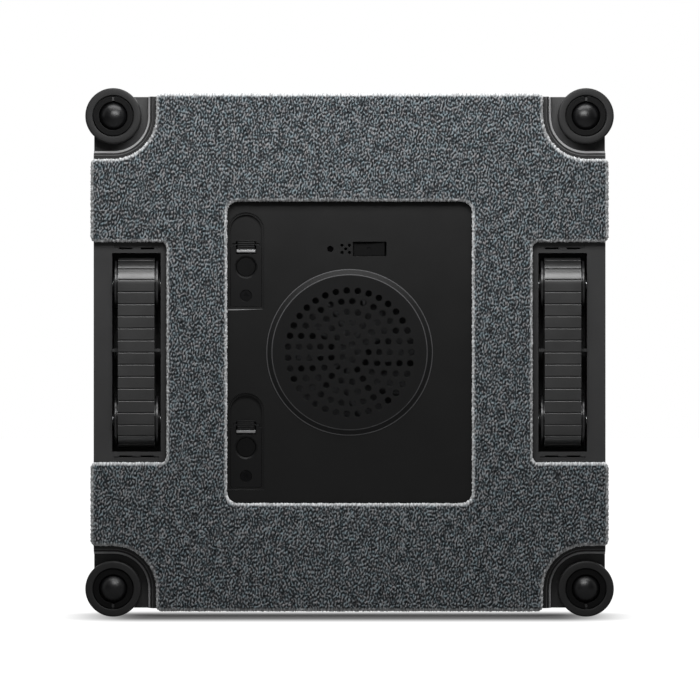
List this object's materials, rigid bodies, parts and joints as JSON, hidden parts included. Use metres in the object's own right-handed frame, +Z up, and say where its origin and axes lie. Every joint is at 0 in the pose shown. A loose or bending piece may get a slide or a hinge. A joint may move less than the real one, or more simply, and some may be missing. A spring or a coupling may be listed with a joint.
{
  "type": "window cleaning robot",
  "caption": "Square window cleaning robot with a looped pad, crawler tracks, corner rollers, a suction grille and a rear carry handle.",
  "frame": {"origin": "centre of the pad's face, on the plane of the glass that the robot clings to", "axes": "+Z up the pane, +X to the right as seen from the pad's side, +Y away from the glass"},
  "size_m": [0.2466, 0.0789, 0.2466],
  "materials": {
    "black_casing": "fine matt texture",
    "black_panel": "fine matt texture",
    "dark_trim": "satin",
    "looped_pad": "looped microfibre pile",
    "hook_tape": "woven hook tape",
    "rear_shell": "satin",
    "soft_grip": "matt",
    "light_guide": "frosted",
    "white_button": "satin",
    "dark_window": "polished",
    "steel_wire": "bright drawn",
    "zinc_steel": "black zinc plated",
    "foam_seal": "closed cell foam",
    "grey_plastic": "moulded",
    "ground_steel": "ground",
    "motor_steel": "satin nickel",
    "circuit_board": "solder mask",
    "cell_wrap": "shrink wrap",
    "belt_rubber": "satin moulded rubber",
    "wheel_plastic": "moulded",
    "gear_brass": "cut",
    "roller_rubber": "satin moulded rubber",
    "gloss_dome": "polished",
    "bright_steel": "bright"
  },
  "bodies": {
    "chassis": {"base_plate": "black_casing", "fan_grille": "black_panel", "cleaning_pad": "looped_pad", "pad_hook_tape": "hook_tape", "top_cover": "rear_shell", "handle": "rear_shell", "handle_grip": "soft_grip", "light_ring": "light_guide", "vent_grilles": "black_panel", "receiver_window": "dark_window", "cord_gland": "soft_grip", "screws": "zinc_steel", "fan_seal": "foam_seal", "fan_housing": "grey_plastic", "suction_motor": "motor_steel", "main_board": "circuit_board", "battery_cells": "cell_wrap", "battery_tray": "grey_plastic", "buzzer": "black_panel", "lamp_lens": "dark_window", "switch_frame": "black_panel", "gearboxes": "grey_plastic", "drive_motors": "motor_steel", "idler_axles": "ground_steel", "retaining_rings": "dark_trim", "return_springs": "steel_wire", "latch_plates": "black_panel", "latch_pins": "zinc_steel", "track_housing_left": "black_casing", "track_belt_left": "belt_rubber", "track_housing_right": "black_casing", "track_belt_right": "belt_rubber"},
    "fan_rotor": {"impeller": "grey_plastic", "fan_shaft": "ground_steel"},
    "drive_left": {"drive_wheel_left": "wheel_plastic", "drive_shaft_left": "ground_steel"},
    "idler_left": {"idler_wheel_left": "wheel_plastic"},
    "pinion_left": {"motor_gear_left": "gear_brass"},
    "drive_right": {"drive_wheel_right": "wheel_plastic", "drive_shaft_right": "ground_steel"},
    "idler_right": {"idler_wheel_right": "wheel_plastic"},
    "pinion_right": {"motor_gear_right": "gear_brass"},
    "roller_upper_left": {"side_roller_upper_left": "roller_rubber"},
    "plunger_upper_left": {"edge_plunger_upper_left": "gloss_dome"},
    "roller_upper_right": {"side_roller_upper_right": "roller_rubber"},
    "plunger_upper_right": {"edge_plunger_upper_right": "gloss_dome"},
    "roller_lower_left": {"side_roller_lower_left": "roller_rubber"},
    "plunger_lower_left": {"edge_plunger_lower_left": "gloss_dome"},
    "roller_lower_right": {"side_roller_lower_right": "roller_rubber"},
    "plunger_lower_right": {"edge_plunger_lower_right": "gloss_dome"},
    "lever_upper": {"latch_lever_upper": "black_panel", "latch_bar_upper": "bright_steel"},
    "release_upper": {"latch_button_upper": "dark_trim"},
    "lever_lower": {"latch_lever_lower": "black_panel", "latch_bar_lower": "bright_steel"},
    "release_lower": {"latch_button_lower": "dark_trim"},
    "rocker": {"power_rocker": "dark_trim"},
    "start": {"start_button": "white_button"},
    "tether": {"tether_eye": "steel_wire"}
  },
  "joints": [
    {"name": "fan_spin", "type": "hinge", "parent": "chassis", "child": "fan_rotor", "pos_m": [0, 0.025, 0], "axis": [0, 1, 0], "continuous": true},
    {"name": "drive_left_spin", "type": "hinge", "parent": "chassis", "child": "drive_left", "pos_m": [-0.0995, 0.0132, -0.0317], "axis": [1, 0, 0], "continuous": true},
    {"name": "idler_left_spin", "type": "hinge", "parent": "chassis", "child": "idler_left", "pos_m": [-0.0995, 0.0132, 0.0317], "axis": [1, 0, 0], "continuous": true},
    {"name": "motor_gear_left_spin", "type": "hinge", "parent": "chassis", "child": "pinion_left", "pos_m": [-0.0995, 0.02242, -0.0317], "axis": [1, 0, 0], "continuous": true},
    {"name": "drive_right_spin", "type": "hinge", "parent": "chassis", "child": "drive_right", "pos_m": [0.0995, 0.0132, -0.0317], "axis": [1, 0, 0], "continuous": true},
    {"name": "idler_right_spin", "type": "hinge", "parent": "chassis", "child": "idler_right", "pos_m": [0.0995, 0.0132, 0.0317], "axis": [1, 0, 0], "continuous": true},
    {"name": "motor_gear_right_spin", "type": "hinge", "parent": "chassis", "child": "pinion_right", "pos_m": [0.0995, 0.02242, -0.0317], "axis": [1, 0, 0], "continuous": true},
    {"name": "roller_upper_left_spin", "type": "hinge", "parent": "chassis", "child": "roller_upper_left", "pos_m": [-0.1103, 0.0074, 0.1103], "axis": [0, 1, 0], "continuous": true},
    {"name": "plunger_upper_left_press", "type": "slide", "parent": "chassis", "child": "plunger_upper_left", "axis": [0, 1, 0], "range_m": [0, 0.0025], "stiffness_N_per_m": 150, "springref_m": -0.002, "deforming": ["return_springs"]},
    {"name": "roller_upper_right_spin", "type": "hinge", "parent": "chassis", "child": "roller_upper_right", "pos_m": [0.1103, 0.0074, 0.1103], "axis": [0, 1, 0], "continuous": true},
    {"name": "plunger_upper_right_press", "type": "slide", "parent": "chassis", "child": "plunger_upper_right", "axis": [0, 1, 0], "range_m": [0, 0.0025], "stiffness_N_per_m": 150, "springref_m": -0.002, "deforming": ["return_springs"]},
    {"name": "roller_lower_left_spin", "type": "hinge", "parent": "chassis", "child": "roller_lower_left", "pos_m": [-0.1103, 0.0074, -0.1103], "axis": [0, 1, 0], "continuous": true},
    {"name": "plunger_lower_left_press", "type": "slide", "parent": "chassis", "child": "plunger_lower_left", "axis": [0, 1, 0], "range_m": [0, 0.0025], "stiffness_N_per_m": 150, "springref_m": -0.002, "deforming": ["return_springs"]},
    {"name": "roller_lower_right_spin", "type": "hinge", "parent": "chassis", "child": "roller_lower_right", "pos_m": [0.1103, 0.0074, -0.1103], "axis": [0, 1, 0], "continuous": true},
    {"name": "plunger_lower_right_press", "type": "slide", "parent": "chassis", "child": "plunger_lower_right", "axis": [0, 1, 0], "range_m": [0, 0.0025], "stiffness_N_per_m": 150, "springref_m": -0.002, "deforming": ["return_springs"]},
    {"name": "latch_upper_rock", "type": "hinge", "parent": "chassis", "child": "lever_upper", "pos_m": [-0.0484, 0.0107, 0.05017], "axis": [1, 0, 0], "range_deg": [0, 10], "stiffness_Nm_per_rad": 0.02, "springref_deg": -11.46},
    {"name": "latch_upper_press", "type": "slide", "parent": "chassis", "child": "release_upper", "axis": [0, 1, 0], "range_m": [0, 0.0012], "stiffness_N_per_m": 200, "springref_m": -0.001, "deforming": ["return_springs"]},
    {"name": "latch_lower_rock", "type": "hinge", "parent": "chassis", "child": "lever_lower", "pos_m": [-0.0484, 0.0107, -0.03417], "axis": [1, 0, 0], "range_deg": [0, 10], "stiffness_Nm_per_rad": 0.02, "springref_deg": -11.46},
    {"name": "latch_lower_press", "type": "slide", "parent": "chassis", "child": "release_lower", "axis": [0, 1, 0], "range_m": [0, 0.0012], "stiffness_N_per_m": 200, "springref_m": -0.001, "deforming": ["return_springs"]},
    {"name": "power_switch_rock", "type": "hinge", "parent": "chassis", "child": "rocker", "pos_m": [0.0094, 0.0118, 0.0483], "axis": [0, 0, 1], "range_deg": [0, 10]},
    {"name": "start_press", "type": "slide", "parent": "chassis", "child": "start", "axis": [0, -1, 0], "range_m": [0, 0.001], "stiffness_N_per_m": 200, "springref_m": -0.001},
    {"name": "tether_swing", "type": "hinge", "parent": "chassis", "child": "tether", "pos_m": [-0.052, 0.0677, 0.084], "axis": [1, 0, 0], "range_deg": [0, 170]}
  ],
  "couplings": [
    {"joint": "idler_left_spin", "follows": "drive_left_spin", "ratio": 1},
    {"joint": "motor_gear_left_spin", "follows": "drive_left_spin", "ratio": -1.3333},
    {"joint": "idler_right_spin", "follows": "drive_right_spin", "ratio": 1},
    {"joint": "motor_gear_right_spin", "follows": "drive_right_spin", "ratio": -1.3333}
  ]
}
